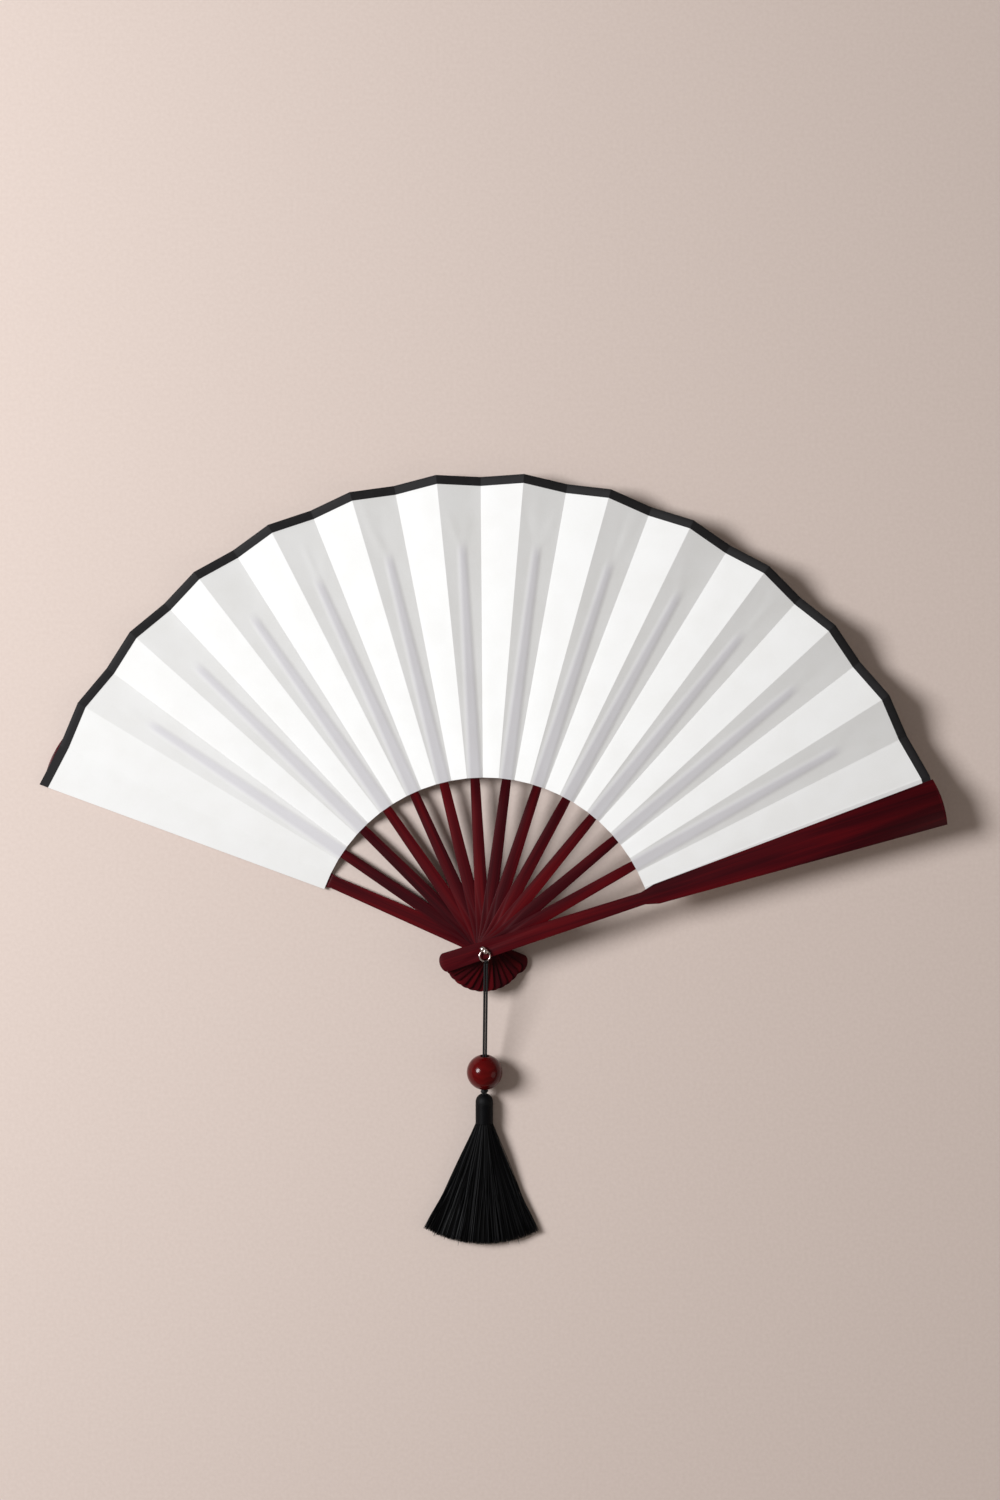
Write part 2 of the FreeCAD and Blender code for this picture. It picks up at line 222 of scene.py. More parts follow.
class Finish:
    """A material under construction, on its own principled shader."""

    def __init__(self, name, **constants):
        self.material = bpy.data.materials.new(name)
        self.material.use_nodes = True
        self.tree = self.material.node_tree
        self.shader = self.tree.nodes["Principled BSDF"]
        for key, value in constants.items():
            self.shader.inputs[socket_name(key)].default_value = value

    def node(self, kind, settings=None, sockets=None, output=0):
        """Adds a node: its settings first, then its sockets' values or links. A colour
        ramp's setting is `stops`, a list of places from 0 to 1 and their colours."""
        node = self.tree.nodes.new("ShaderNode" + kind)
        for key, value in (settings or {}).items():
            if key == "stops":
                ramp = node.color_ramp.elements
                while len(ramp) < len(value):
                    ramp.new(1.0)
                for element, (place, colour) in zip(ramp, value):
                    element.position = place
                    element.color = (*colour, 1)
            else:
                setattr(node, key, value)
        for key, value in (sockets or {}).items():
            self.feed(node.inputs[key], value)
        return Value(self.tree, node.outputs[output])

    def feed(self, socket, value):
        """Links a socket to a value that varies, or sets it to a constant."""
        if isinstance(value, Value):
            self.tree.links.new(value.socket, socket)
        elif hasattr(value, "__len__") and len(value) == 3 and socket.type == "RGBA":
            socket.default_value = (*value, 1)
        else:
            socket.default_value = value

    def place(self):
        """Where a point of the piece is, in metres."""
        return self.node("TexCoord", output=3)

    def along_piece(self, name, output=1):
        """An attribute of the piece's mesh: output 1 is a vector, 2 a number."""
        return self.node("Attribute", {"attribute_name": name}, output=output)

    def axes(self, vector):
        """The three numbers of a vector."""
        split = self.tree.nodes.new("ShaderNodeSeparateXYZ")
        self.tree.links.new(vector.socket, split.inputs[0])
        return [Value(self.tree, socket) for socket in split.outputs]

    def noise(self, vector, scale, detail=2.0, roughness=0.5):
        """Noise with that many features to the metre along each axis."""
        stretched = self.node("Mapping", sockets={"Vector": vector, "Scale": scale})
        return self.node("TexNoise", sockets={
            "Vector": stretched, "Scale": 1.0, "Detail": detail, "Roughness": roughness})

    def ramp(self, value, *stops):
        """A colour that changes with a value, through stops of (place, colour)."""
        return self.node("ValToRGB", {"stops": stops}, {"Fac": value})

    def mix(self, factor, first, second):
        """The first colour where the factor is 0, the second where it is 1."""
        return self.node("Mix", {"data_type": "RGBA"}, {0: factor, 6: first, 7: second}, output=2)

    def set(self, **varying):
        """Feeds the shader's sockets."""
        for key, value in varying.items():
            self.feed(self.shader.inputs[socket_name(key)], value)

    def bump(self, height, distance, strength=1.0):
        """Feeds the shader's normal from a height of 0 to 1 that stands for a distance."""
        normal = self.node("Bump", sockets={
            "Height": height, "Distance": distance, "Strength": strength})
        self.feed(self.shader.inputs["Normal"], normal)


# %% [markdown]
# ## Lacquered wood
# The sticks are wood under a clear red lacquer, so the colour drifts from maroon to crimson,
# with faint streaks along the grain. An image of wood would need to be wrapped on each
# stick. Instead each stick carries an attribute, `grain`, that says how far along, across
# and up each point lies, so stretched noise follows every stick whatever way it points.

# %% Finish: lacquered wood


def lacquered_wood():
    wood = Finish("red_lacquered_wood", coat_weight=0.07, coat_roughness=0.20,
                  specular_ior_level=0.12)
    grain = wood.along_piece("grain")
    streaks = wood.noise(grain, (14, 1100, 400), detail=4.0, roughness=0.6)
    bands = wood.noise(grain, (11, 150, 60), detail=2.0)
    pores = wood.noise(grain, (110, 3200, 1600), detail=2.0)
    tone = streaks * 0.32 + bands * 0.68
    colour = wood.ramp(tone, (0.32, (0.024, 0.0005, 0.0022)), (0.45, (0.046, 0.0007, 0.0032)),
                       (0.56, (0.074, 0.0010, 0.0036)), (0.72, (0.125, 0.0020, 0.0042)))
    wood.set(base_color=colour, roughness=0.36 + streaks * 0.16)
    wood.bump(pores * 0.6 + streaks * 0.4, 0.00005, 0.5)
    return wood.material


# %% [markdown]
# ## Paper
# The leaf is two sheets of white paper glued over the slips. Paper is never one flat white:
# it has short fibres, a slightly uneven thickness, and it looks a little greyer where a
# slip lies beneath. The last comes from an attribute that the mesh is given when it is built.

# %% Finish: leaf paper


def leaf_paper():
    paper = Finish("white_leaf_paper", specular_ior_level=0.25)
    place = paper.place()
    fibres = paper.noise(place, (1500, 1500, 1500), detail=5.0, roughness=0.65)
    cloudy = paper.noise(place, (60, 60, 60), detail=3.0)
    under = paper.along_piece("slip_under", output=2)
    sheet = paper.ramp(cloudy * 0.6 + fibres * 0.4, (0.30, (0.835, 0.83, 0.81)),
                       (0.55, (0.865, 0.863, 0.85)), (0.80, (0.885, 0.885, 0.875)))
    paper.set(base_color=paper.mix(under * 0.42, sheet, (0.60, 0.575, 0.65)),
              roughness=0.72 + fibres * 0.16)
    paper.bump(fibres * 0.7 + cloudy * 0.3, 0.00006, 0.55)
    return paper.material


# %% [markdown]
# ## Tape, cord and silk
# The rim is bound in black cotton tape. Two crossed sine waves stand for its over-and-under
# weave. The cord is twisted, so one slanted wave is enough. Silk threads differ from each
# other in sheen and tone, so each thread of the tassel carries its own number. The winding
# round the neck is smoother than the threads, and its number is high, which makes it shine.
# The high number also lightens the winding's colour, which is a painted sheen.

# %% Finishes: black textiles


thread_pitch = 0.55 * MM
ply_pitch = 1.1 * MM


def cotton_tape():
    tape = Finish("black_cotton_tape", specular_ior_level=0.3)
    across, along, _ = tape.axes(tape.place())
    thread = 2 * math.pi / thread_pitch
    weave = (across * thread).sine() * (along * thread).sine() * 0.5 + 0.5
    dust = tape.noise(tape.place(), (250, 250, 250), detail=3.0)
    colour = tape.ramp(weave * 0.5 + dust * 0.5, (0.25, (0.0045, 0.004, 0.0045)),
                       (0.75, (0.017, 0.0155, 0.0165)))
    tape.set(base_color=colour, roughness=0.62 + dust * 0.2)
    tape.bump(weave, 0.00006, 0.6)
    return tape.material


def twisted_cord():
    cord = Finish("black_twisted_cord", specular_ior_level=0.35)
    across, along, up = cord.axes(cord.place())
    slant = along + across * 1.3 - up * 1.1
    plies = (slant * (2 * math.pi / ply_pitch)).sine() * 0.5 + 0.5
    fuzz = cord.noise(cord.place(), (3000, 3000, 3000), detail=2.0)
    colour = cord.ramp(plies * 0.7 + fuzz * 0.3, (0.15, (0.0015, 0.0015, 0.0017)),
                       (0.85, (0.0095, 0.009, 0.010)))
    cord.set(base_color=colour, roughness=0.50 + fuzz * 0.2)
    cord.bump(plies * 0.8 + fuzz * 0.2, 0.00012, 0.8)
    return cord.material


def tassel_silk():
    silk = Finish("black_tassel_silk", specular_ior_level=0.14)
    tone = silk.along_piece("thread_tone", output=2)
    fuzz = silk.noise(silk.place(), (2500, 300, 2500), detail=2.0)
    # Each thread's tone varies its colour at random. The winding's high tone lowers its roughness
    # for a real sheen and lightens its colour as a painted sheen.
    colour = silk.ramp(tone * 0.7 + fuzz * 0.3, (0.15, (0.0010, 0.0010, 0.0012)),
                       (0.85, (0.0034, 0.0034, 0.0041)))
    silk.set(base_color=colour, roughness=0.62 + fuzz * 0.18 - tone * 0.26)
    silk.bump(fuzz, 0.00006, 0.5)
    return silk.material


# %% [markdown]
# ## Metal, agate and the floor
# The pin and ring are polished, pinkish silver with fine hairlines. The bead is polished
# agate: a dark red stone with faint wavy bands, and a clear coat gives its sharp highlights.

# %% Finishes: metal, agate and floor


def pin_metal():
    metal = Finish("pinkish_silver", metallic=1.0)
    hairlines = metal.noise(metal.place(), (900, 5000, 2500), detail=3.0)
    tarnish = metal.noise(metal.place(), (350, 350, 350), detail=2.0)
    colour = metal.ramp(tarnish, (0.3, (0.62, 0.50, 0.46)), (0.6, (0.86, 0.78, 0.75)))
    metal.set(base_color=colour, roughness=0.14 + hairlines * 0.14)
    metal.bump(hairlines, 0.00001, 0.3)
    return metal.material


band_pitch = 4.2 * MM
band_drift = 14 * MM


def polished_agate():
    agate = Finish("dark_red_agate", roughness=0.18, coat_roughness=0.03, coat_weight=0.22,
                   specular_ior_level=0.12)
    place = agate.place()
    drift = agate.noise(place, (90, 90, 90), detail=3.0)
    _, along, up = agate.axes(place)
    wavy = along + up * 0.5 + drift * band_drift
    bands = (wavy * (2 * math.pi / band_pitch)).sine() * 0.5 + 0.5
    colour = agate.ramp(bands * 0.25 + drift * 0.75, (0.25, (0.070, 0.0012, 0.0014)),
                        (0.50, (0.088, 0.0016, 0.0018)), (0.80, (0.112, 0.0026, 0.0026)))
    agate.set(base_color=colour)
    return agate.material


def pale_floor():
    floor = Finish("pale_floor", specular_ior_level=0.2)
    grain = floor.noise(floor.place(), (500, 500, 500), detail=3.0)
    colour = floor.ramp(grain, (0.3, (0.70, 0.585, 0.525)), (0.7, (0.735, 0.62, 0.56)))
    floor.set(base_color=colour, roughness=0.85 + grain * 0.1)
    return floor.material


WOOD, PAPER, TAPE = lacquered_wood(), leaf_paper(), cotton_tape()
CORD, SILK, METAL, AGATE = twisted_cord(), tassel_silk(), pin_metal(), polished_agate()
print("finishes:", ", ".join(m.name for m in (WOOD, PAPER, TAPE, CORD, SILK, METAL, AGATE)))

# %% [markdown]
# ## The leaf
# One pleat is a rib panel and the fold panel beside it, bent over a shared valley crease.
# It could be two stiff plates, but then the valley would tear open when the fan closes.
# So each pleat is one closed sheet across the crease, built in its open shape. The leaf is two
# layers of paper, which bulge over the slip that lies between them and pucker softly
# just beyond its tip, where the paste pulled the paper as it dried.

# %% Leaf sizes and relief
leaf_inner = 98 * MM
leaf_outer = 272 * MM
paper_half = 0.15 * MM
glue = 0.3 * MM
slip_tip = leaf_inner + 130 * MM
slip_half_inner = 2.6 * MM
slip_half_tip = 1.1 * MM
front_bulge = 0.38 * MM
back_bulge = 0.22 * MM
crease_roll = 0.45 * MM
valley_drop = 2.1 * MM
rows, rib_columns, fold_columns = 58, 26, 12
tent_inside, tent_outside = 0.5 * MM, 2.6 * MM
tip_rise, tip_fall = 1 * MM, 8 * MM
wave_height, waves_per_radius = 0.10 * MM, 55
glue_edge = 2 * MM


def slip_half(radius):
    """Half the width of the slip at that radius."""
    share = (radius - leaf_inner) / (slip_tip - leaf_inner)
    return slip_half_inner + (slip_half_tip - slip_half_inner) * min(share, 1.0)


def over_slip(radius, across):
    """1 where the slip lies under the paper, 0 clear of it."""
    edge = slip_half(radius)
    side = 1 - ease(abs(across), edge - tent_inside, edge + tent_outside)
    return side * (1 - ease(radius, slip_tip - tip_rise, slip_tip + tip_fall))


def puckers(number):
    """A few soft wrinkles of one panel: heading, length, height, width and offset."""
    draw = random.Random(300 + number)
    found = []
    for heading in (-0.42, -0.16, 0.12, 0.40):
        found.append((heading + draw.uniform(-0.14, 0.14), draw.uniform(10, 34) * MM,
                      draw.uniform(-0.10, 0.13) * MM, draw.uniform(1.8, 3.6) * MM,
                      draw.uniform(-2.0, 2.0) * MM))
    return found


def pucker_height(wrinkles, radius, across):
    """How far the wrinkles lift the paper at one point beyond the slip's tip."""
    total = 0.0
    for heading, length, height, width, offset in wrinkles:
        out = radius - slip_tip - tip_rise
        side = (across - offset) * math.cos(heading) - out * math.sin(heading)
        reach = (across - offset) * math.sin(heading) + out * math.cos(heading)
        if reach > 0 and abs(side) < 3 * width:
            fade = ease(reach, 0, 9 * MM) * (1 - ease(reach, length, length + 14 * MM))
            total += height * fade * math.exp(-(side / width) ** 2)
    return total


# %% [markdown]
# A sheet is built row by row, from the leaf's inner edge outwards. In each row the columns
# run from the left peak down to the valley and up to the next peak. Two narrow columns lie
# beside the valley at a fixed distance, so the bend stays a crease at every radius.

# %% Build the sheets


def panel_lines(number, kind, radius):
    """Left and right edge points of a rib or fold panel. The paper was trimmed while it
    was folded, so a valley ends a little short of the peaks."""
    drop = valley_drop * ease(radius, leaf_inner, leaf_outer)
    low = base[number] + (radius - drop) * valley[number]
    if kind == "rib":
        return base[number] + radius * peak[number], low
    after = number + 1
    return low, base[after] + radius * peak[after]


def panel_normal(number, kind):
    """The direction that a panel's front faces."""
    left, right = panel_lines(number, kind, leaf_outer)
    outward = (left + right) / 2 - base[number]
    return (right - left).cross(outward).normalized()


def shares(kind, radius, rolls):
    """How far across the panel each column lies. At a valley that rolls, narrow columns
    take the last stretch of the rib panel and the first of the fold panel."""
    roll = crease_roll / (2 * radius * math.sin(half_angle))
    columns = rib_columns if kind == "rib" else fold_columns
    steps = [i / columns for i in range(columns + 1)]
    if not rolls:
        return steps
    if kind == "rib":
        return [s * (1 - roll) for s in steps] + [1 - roll / 2, 1.0]
    return [roll / 2] + [roll + s * (1 - roll) for s in steps]


def mitre(first, second):
    """The direction two panels share at their crease, long enough to keep both flat."""
    shared = (first + second).normalized()
    return shared / shared.dot(first)


def edge_normals(number, kinds):
    """Normals at a pleat's creases, where its faces meet its neighbours' without a gap."""
    found = {}
    own = [panel_normal(number, kind) for kind in kinds]
    if number > rear_end:
        found["rib", 0.0] = mitre(own[0], panel_normal(number - 1, "fold"))
    if len(kinds) > 1:
        found["rib", 1.0] = mitre(own[0], own[1])
        found["fold", 1.0] = mitre(own[1], panel_normal(number + 1, "rib"))
    return found


def pleat_row(number, kinds, radius, wrinkles):
    """Points of one row: (middle of the paper, normal, front lift, back lift, slip)."""
    row = []
    creases = edge_normals(number, kinds)
    waves = random.Random(900 + number)
    phase, swell = waves.uniform(0, 6.28), waves.uniform(0.5, 1.0) * wave_height
    for kind in kinds:
        left, right = panel_lines(number, kind, radius)
        normal = panel_normal(number, kind)
        width = (right - left).length
        has_slip = kind == "rib" and number in rib_numbers
        for share in shares(kind, radius, len(kinds) > 1):
            across = (0.5 - share) * width
            calm = 4 * share * (1 - share)
            slip = over_slip(radius, across) if has_slip else 0.0
            lift = swell * math.sin(radius * waves_per_radius + phase + share * 2.5) * calm
            if has_slip:
                lift += pucker_height(wrinkles, radius, across) * min(calm * 1.6, 1.0)
            if kind == "rib" and number in (rear_end, front_end):
                lift = 0.0
            front = paper_half + front_bulge * slip
            back = paper_half + back_bulge * slip
            if kind == "rib" and number == rear_end:
                back += glue * (1 - ease(share, 1 - glue_edge / width, 1.0))
            if kind == "rib" and number == front_end:
                front += glue
            row.append((left + (right - left) * share, creases.get((kind, round(share, 6)), normal),
                        front + lift, back - lift, slip))
    return row


def sheet_mesh(name, grid):
    """A closed sheet from a grid of (front point, back point, slip)."""
    count, wide = len(grid), len(grid[0])
    points = [cell[0] for row in grid for cell in row] + [cell[1] for row in grid for cell in row]
    back = count * wide
    faces = []
    for i in range(count - 1):
        for j in range(wide - 1):
            a, b = i * wide + j, i * wide + j + 1
            c, d = b + wide, a + wide
            faces.append((a, b, c, d))
            faces.append((back + d, back + c, back + b, back + a))
    rim = list(range(wide)) + [i * wide + wide - 1 for i in range(1, count)]
    rim += [(count - 1) * wide + j for j in range(wide - 2, -1, -1)]
    rim += [i * wide for i in range(count - 2, 0, -1)]
    for a, b in zip(rim, rim[1:] + rim[:1]):
        faces.append((b, a, back + a, back + b))
    mesh = bpy.data.meshes.new(name)
    mesh.from_pydata(points, [], faces)
    under = mesh.attributes.new("slip_under", "FLOAT", "POINT")
    under.data.foreach_set("value", [cell[2] for row in grid for cell in row] * 2)
    return in_scene(name, mesh)


def pleat(number, kinds, name):
    """A pleat's paper: its rib panel and, except at the front end, its fold panel."""
    wrinkles = puckers(number)
    grid = []
    for i in range(rows + 1):
        radius = leaf_inner + (leaf_outer - leaf_inner) * i / rows
        row = pleat_row(number, kinds, radius, wrinkles)
        grid.append([(point + normal * front, point - normal * back, slip)
                     for point, normal, front, back, slip in row])
    return settle(sheet_mesh(name, grid), name, 22)


def across_crease(number):
    """Where the bend of a pleat starts and ends, either side of its valley."""
    at = base[number] + leaf_outer * valley[number]
    side = Vector((-valley[number].y, valley[number].x, 0)).normalized()
    return at + side * crease_roll, at - side * crease_roll


panel_body = {k: f"rib_panel_{k:02d}" for k in rib_numbers}
panel_body[rear_end], panel_body[front_end] = "rear_guard", "front_guard"
panel_node = {k: f"rib_panel_{k:02d}" for k in rib_numbers}
panel_node[rear_end], panel_node[front_end] = "end_panel_rear", "end_panel_front"
panel_area = (leaf_outer ** 2 - leaf_inner ** 2) / 2 * math.sin(2 * half_angle)
for k in range(rear_end, front_end):
    piece = pleat(k, ("rib", "fold"), f"leaf_pleat_{k:02d}")
    finish_with(piece, PAPER)
    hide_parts(panel_node[k], f"fold_panel_{k:02d}")
    start, end = across_crease(k)
    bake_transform(piece)
last = pleat(front_end, ("rib",), "leaf_end_front")
finish_with(last, PAPER)
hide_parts(panel_node[front_end])
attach(last, "front_guard")

# %% [markdown]
# ## The binding
# The rim is closed with a narrow black tape, folded over the paper's edge from front to
# back. It is a strip with a U-shaped section, cut at each peak and bent at each valley with
# its own pleat, and a Solidify modifier gives it the tape's thickness.

# %% Binding tape
tape_width = 5 * MM
tape_thickness = 0.15 * MM
tape_gap = 0.02 * MM
tape_lift = tape_gap + tape_thickness / 2
U_SECTION = [(-tape_width, 1), (-tape_width / 2, 1), (0, 1), (0.07 * MM, 0.7), (0.095 * MM, 0),
             (0.07 * MM, -0.7), (0, -1), (-tape_width / 2, -1), (-tape_width, -1)]


def binding(number, kinds, name):
    """The length of tape on one pleat's rim."""
    wrinkles = puckers(number)
    points, faces = [], []
    for step, side in U_SECTION:
        row = pleat_row(number, kinds, leaf_outer + step, wrinkles)
        for point, normal, front, back, _ in row:
            sag = (front - back) / 2
            reach = (front + back) / 2 + tape_lift
            points.append(point + normal * (sag + reach * side))
    wide = len(points) // len(U_SECTION)
    for i in range(len(U_SECTION) - 1):
        for j in range(wide - 1):
            a = i * wide + j
            faces.append((a, a + 1, a + 1 + wide, a + wide))
    mesh = bpy.data.meshes.new(name)
    mesh.from_pydata(points, [], faces)
    piece = in_scene(name, mesh)
    modify(piece, "SOLIDIFY", thickness=tape_thickness, offset=0.0)
    return settle(piece, name, 50)


for k in range(rear_end, front_end):
    piece = binding(k, ("rib", "fold"), f"rim_binding_{k:02d}")
    finish_with(piece, TAPE)
    start, end = across_crease(k)
    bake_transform(piece)
last = binding(front_end, ("rib",), "rim_binding_front")
finish_with(last, TAPE)
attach(last, "front_guard")
print(len(valley), "lengths of binding")

# %% [markdown]
# ## The sticks
# A stick is sawn flat, rounded at its butt and sanded. It is modelled the same way: a small
# plane stands upright at the butt, and is extruded from station to station along +X while
# it is scaled to the stick's width and thickness there. The pin's hole is cut with a
# Boolean modifier, and a Bevel modifier sands the edges.

# %% Helper: extrude a stick from stations


def stick(name, stations):
    """A stick along +X. A station is (along, width, underside, top), in millimetres."""
    along, width, low, high = (value * MM for value in stations[0])
    piece = fresh(bpy.ops.mesh.primitive_plane_add, size=1,
                  location=(along, 0, (low + high) / 2), rotation=(0, math.pi / 2, 0))
    piece.scale = (high - low, width, 1)
    only(piece)
    bpy.ops.object.transform_apply(location=True, rotation=True, scale=True)
    bpy.ops.object.mode_set(mode="EDIT")
    bpy.ops.mesh.select_all(action="SELECT")
    for station in stations[1:]:
        there, wide, under, top = (value * MM for value in station)
        rise = (under + top - low - high) / 2
        bpy.ops.mesh.extrude_region_move(
            TRANSFORM_OT_translate={"value": (there - along, 0, rise)})
        bpy.ops.transform.resize(value=(1, wide / width, (top - under) / (high - low)),
                                 center_override=(there, 0, (under + top) / 2))
        along, width, low, high = there, wide, under, top
    bpy.ops.mesh.select_all(action="SELECT")
    bpy.ops.mesh.normals_make_consistent(inside=False)
    bpy.ops.object.mode_set(mode="OBJECT")
    piece.name = name
    return piece


def round_butt(reach, depth, width, low, high, count=9):
    """Stations of a rounded end that starts at -reach and is full width after its depth."""
    first = 0.35
    turns = [math.radians(90) * (i + first) / (count - 1 + first) for i in range(count)]
    return [(-reach + depth * (1 - math.cos(t)), width * math.sin(t), low, high) for t in turns]


def bored(piece, radius, low, high):
    """Cuts a round hole about the pin's axis."""
    cutter = fresh(bpy.ops.mesh.primitive_cylinder_add, vertices=40, radius=radius * MM,
                   depth=(high - low) * MM, location=(0, 0, (high + low) / 2 * MM))
    modify(piece, "BOOLEAN", object=cutter, operation="DIFFERENCE", solver="EXACT")
    discard(cutter)


def grained(piece, number):
    """Writes each point's place along, across and up the stick, apart from other sticks'."""
    attribute = piece.data.attributes.new("grain", "FLOAT_VECTOR", "POINT")
    for vertex, value in zip(piece.data.vertices, attribute.data):
        value.vector = vertex.co + Vector((number * 0.61, number * 0.083, number * 0.037))


# %% [markdown]
# A rib is flat from its butt to the leaf, and there it thins into a slip between the two
# layers of paper. The open leaf leans, so the slip twists with it. The twist is put into
# the mesh over the last stretch of the handle.

# %% Ribs
rib_half = 0.55
rib_width, rib_taper, handle_end = 8.4, 2.9, 97
rib_butt, rib_butt_depth = 24.5, 2.8
slip_start, slip_length, slip_end = 98, 130, 228
slip_half_thick = 0.25
hole_radius = 1.55
twist_start, twist_end = 80 * MM, leaf_inner
handle_part = [(0, rib_width), (40, 7.2)]
handle_part += [(x, rib_width - rib_taper * x / handle_end) for x in (78, 82, 86, 90)]
thinning_part = [(92.5, 5.6, 0.50), (95, 5.5, 0.40), (handle_end, 5.3, 0.30)]
slip_part = [(slip_start + x, 5.2 - 3.0 * x / slip_length) for x in (0, 40, 80, 110, 128)]
slip_part += [(slip_end - 0.4, 1.5), (slip_end, 0.7)]
rib_stations = round_butt(rib_butt, rib_butt_depth, rib_width, -rib_half, rib_half)
rib_stations += [(x, wide, -rib_half, rib_half) for x, wide in handle_part]
rib_stations += [(x, wide, -half, half) for x, wide, half in thinning_part]
rib_stations += [(x, wide, -slip_half_thick, slip_half_thick) for x, wide in slip_part]
pattern = stick("rib_pattern", rib_stations)
bored(pattern, hole_radius, -1, 1)
modify(pattern, "BEVEL", width=0.2 * MM, segments=2, limit_method="ANGLE",
       angle_limit=math.radians(38))
modify(pattern, "WELD", merge_threshold=0.01 * MM)
settle(pattern, "rib_pattern")


def twisted(piece):
    """Leans the slip about the rib's middle line, easing in over the end of the handle."""
    for vertex in piece.data.vertices:
        lean = lean_angle * ease(vertex.co.x, twist_start, twist_end)
        vertex.co = Matrix.Rotation(lean, 3, "X") @ vertex.co


for k in rib_numbers:
    rib = copy_of(pattern, f"stick_{k:02d}")
    grained(rib, k)
    twisted(rib)
    rib.data.transform(Matrix.Translation(base[k]) @ Matrix.Rotation(bearing(k), 4, "Z"))
    finish_with(rib, WOOD)
    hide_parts(f"rib_{k:02d}")
    base[k] + middle[k] * twist_start
    base[k] + middle[k] * twist_end
    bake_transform(rib)
discard(pattern)

# %% [markdown]
# The two guards are thicker: a handle that narrows to a shoulder, then a blade that widens
# to the tip. The blade is thinner on the leaf's side, where the end panel is glued. Both
# are the same stick with its step on the other side, so one function makes both.

# %% Guards
guard_turn = math.radians(-0.6)
guard_thick = 3.35
guard_butt, guard_butt_depth, guard_butt_width = 26.5, 3.6, 11
front_tip, rear_tip, tip_crown = 274.0, 271.6, 1.6
blade_start = 96.5
tip_half_width = 13.5
pin_seat_radius, pin_seat_depth = 3.4, 1.0
tip_radius = (tip_half_width ** 2 + tip_crown ** 2) / (2 * tip_crown)


def guard(name, low, high, blade_low, blade_high, tip):
    """A guard along +X, from its round butt to its crowned tip."""
    shoulder = [(0, 9.8), (48, 8.5), (95, 7.2), (blade_start, 7.99)]
    blade = [(blade_start + 0.15, 8.07), (99, 9.3), (103, 11.4), (188, 19.2)]
    stations = round_butt(guard_butt, guard_butt_depth, guard_butt_width, low, high)
    stations += [(x, w, low, high) for x, w in shoulder]
    stations += [(x, w, blade_low, blade_high) for x, w in blade]
    for half in (tip_half_width, 12, 9.5, 6.5, 3.5, 1.0):
        drop = tip_radius - math.sqrt(tip_radius ** 2 - half ** 2)
        stations.append((tip - drop, 2 * half, blade_low, blade_high))
    piece = stick(name, stations)
    bored(piece, hole_radius, low - 1, high + 1)
    return piece


def finish_guard(piece, name, k, number, node):
    """Sands a guard's edges, turns it to its end of the leaf and finishes it."""
    modify(piece, "BEVEL", width=0.55 * MM, segments=3, limit_method="ANGLE",
           angle_limit=math.radians(38))
    settle(piece, name)
    grained(piece, number)
    piece.data.transform(Matrix.Rotation(bearing(k) + guard_turn, 4, "Z"))
    finish_with(piece, WOOD)
    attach(piece, node)
    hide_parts(node)


front_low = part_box("front_guard")[0].z / MM
front_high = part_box("front_guard")[1].z / MM
blade_over = (base[front_end].z + paper_half + glue) / MM
blade_under = (base[rear_end].z - paper_half - glue) / MM
rear = guard("guard_rear", 0, guard_thick, 0, blade_under, rear_tip)
bored(rear, pin_seat_radius, -1, pin_seat_depth)
finish_guard(rear, "guard_rear", rear_end, 21, "rear_guard")
front = guard("guard_front", front_low, front_high, blade_over, front_high, front_tip)
finish_guard(front, "guard_front", front_end, 33, "front_guard")
print("front guard from", round(front_low, 2), "to", round(front_high, 2), "mm up")

# %% [markdown]
# ## Pin, eye and ring
# The pin, its two-knobbed eye and the ring are already the right shape in the frame, so
# they stay as they are and get a finer metal.

# %% Metal on the frame's own parts
metal_parts = ("pivot_pin", "pin_eye", "hang_ring")
for name in metal_parts:
    node = frame["nodes"][name]
    node.data.materials.clear()
    node.data.materials.append(METAL)
print("metal on", ", ".join(metal_parts))

# %% [markdown]
# ## The cord
# Two strands leave the knot on the ring, drop off the front guard and run straight through
# the bead into the tassel. Each is a limp cord on its own smooth NURBS curve, whose control
# points are the route of the cord's solids in the frame, set half a spacing to each side.

# %% Cord strands
cord_route = [(1.0, -7.4, 25.4), (0.95, -13.0, 24.4), (0.0, -83.5, 7.3), (0.0, -91.0, 5.25)]
strand_diameter = 1.25 * MM
strand_offset = 0.675


def strand(name, side):
    """One strand on its route, moved to its side."""
    curve = bpy.data.curves.new(name, "CURVE")
    curve.dimensions = "3D"
    curve.bevel_depth = strand_diameter / 2
    curve.bevel_resolution = 4
    curve.use_fill_caps = True
    curve.resolution_u = 24
    spline = curve.splines.new("NURBS")
    spline.points.add(len(cord_route) - 1)
    for point, (x, y, z) in zip(spline.points, cord_route):
        point.co = ((x + side * strand_offset) * MM, y * MM, z * MM, 1)
    spline.order_u = 3
    spline.use_endpoint_u = True
    piece = in_scene(name, curve)
    finish_with(piece, CORD)
    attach(piece, "tassel")
    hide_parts(name.replace("strand", "cord_strand"))
    return piece


left_strand = strand("strand_left", -1)
right_strand = strand("strand_right", 1)

# %% [markdown]
# ## Knots
# The knots are overhand knots pulled tight. With its ends joined, such a knot is a trefoil,
# a closed curve that crosses itself three times, so a formula gives its path, and the
# cord's own thickness fills it. It is turned into a mesh and set on the strands.

# %% Knots


